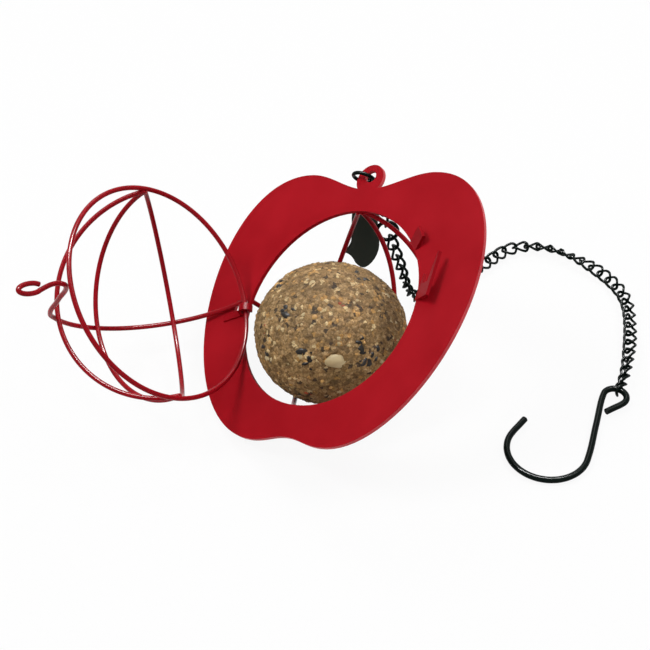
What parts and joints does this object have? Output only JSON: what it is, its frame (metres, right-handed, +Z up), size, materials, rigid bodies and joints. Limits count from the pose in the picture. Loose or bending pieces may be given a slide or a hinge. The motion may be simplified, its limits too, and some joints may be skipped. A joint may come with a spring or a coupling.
{
  "type": "fat ball bird feeder",
  "caption": "Apple-shaped steel plate with a round hole and a wire cage for a fat ball, a hinged wire door that swings open, and a chain with a hook for hanging.",
  "frame": {"origin": "middle of the base of the bounding box, on the floor the feeder lies on", "axes": "+X to the viewer's right, +Y away from the viewer, +Z up"},
  "size_m": [0.2612, 0.1614, 0.094],
  "materials": {
    "red_plate": "gloss",
    "red_wire": "gloss",
    "black_steel": "satin",
    "dark_leaf": "satin",
    "fat_and_seed": "matte"
  },
  "bodies": {
    "frame": {"apple_plate": "red_plate", "rear_hoop_1": "red_wire", "rear_hoop_2": "red_wire", "rear_hoop_3": "red_wire", "rear_cross_hoop": "red_wire"},
    "door": {"door_ring": "red_wire", "door_hoop_1": "red_wire", "door_hoop_2": "red_wire", "door_hoop_3": "red_wire", "door_cross_wire": "red_wire"},
    "ball": {"fat_ball": "fat_and_seed"},
    "chain_top": {"ear_ring": "black_steel", "chain_link_01": "black_steel", "chain_link_02": "black_steel", "chain_link_03": "black_steel", "chain_link_04": "black_steel", "chain_link_05": "black_steel", "chain_link_06": "black_steel", "chain_link_07": "black_steel", "chain_link_08": "black_steel", "chain_link_09": "black_steel", "chain_link_10": "black_steel", "chain_link_11": "black_steel", "chain_link_12": "black_steel", "chain_link_13": "black_steel", "chain_ring": "black_steel"},
    "leaf": {"leaf": "dark_leaf"},
    "chain_back": {"chain_link_14": "black_steel", "chain_link_15": "black_steel", "chain_link_16": "black_steel", "chain_link_17": "black_steel", "chain_link_18": "black_steel", "chain_link_19": "black_steel", "chain_link_20": "black_steel", "chain_link_21": "black_steel", "chain_link_22": "black_steel", "chain_link_23": "black_steel"},
    "chain_side": {"chain_link_24": "black_steel", "chain_link_25": "black_steel", "chain_link_26": "black_steel", "chain_link_27": "black_steel", "chain_link_28": "black_steel", "chain_link_29": "black_steel", "chain_link_30": "black_steel", "chain_link_31": "black_steel", "chain_link_32": "black_steel", "chain_link_33": "black_steel"},
    "chain_front": {"chain_link_34": "black_steel", "chain_link_35": "black_steel", "chain_link_36": "black_steel", "chain_link_37": "black_steel", "chain_link_38": "black_steel", "chain_link_39": "black_steel", "chain_link_40": "black_steel", "chain_link_41": "black_steel", "chain_link_42": "black_steel", "chain_link_43": "black_steel", "chain_link_44": "black_steel", "chain_link_45": "black_steel"},
    "hook": {"hook": "black_steel"}
  },
  "joints": [
    {"name": "door_swing", "type": "hinge", "parent": "frame", "child": "door", "pos_m": [-0.04721, 0.00322, 0.02692], "axis": [0.0447, 0.9361, 0.349], "range_deg": [0, 96]},
    {"name": "ball_lift", "type": "slide", "parent": "frame", "child": "ball", "axis": [-0.5782, -0.2607, 0.7732], "range_m": [0, 0.1]},
    {"name": "chain_swing", "type": "hinge", "parent": "frame", "child": "chain_top", "pos_m": [0.00792, 0.03766, 0.06999], "axis": [0, 0, 1], "range_deg": [-5, 5]},
    {"name": "leaf_swing", "type": "hinge", "parent": "chain_top", "child": "leaf", "pos_m": [0.00581, 0.03909, 0.06893], "axis": [0.9005, -0.4137, 0.1342], "range_deg": [-5, 10]},
    {"name": "chain_back_bend", "type": "hinge", "parent": "chain_top", "child": "chain_back", "pos_m": [0.03873, 0.04498, 0.00317], "axis": [0, 0, 1], "range_deg": [-6, 10]},
    {"name": "chain_side_bend", "type": "hinge", "parent": "chain_back", "child": "chain_side", "pos_m": [0.08508, 0.07753, 0.00325], "axis": [0, 0, 1], "range_deg": [-8, 20]},
    {"name": "chain_front_bend", "type": "hinge", "parent": "chain_side", "child": "chain_front", "pos_m": [0.12595, 0.04245, 0.00325], "axis": [0, 0, 1], "range_deg": [-8, 20]},
    {"name": "hook_turn", "type": "hinge", "parent": "chain_front", "child": "hook", "pos_m": [0.11514, -0.02308, 0.00325], "axis": [0, 0, 1], "range_deg": [-20, 20]}
  ]
}
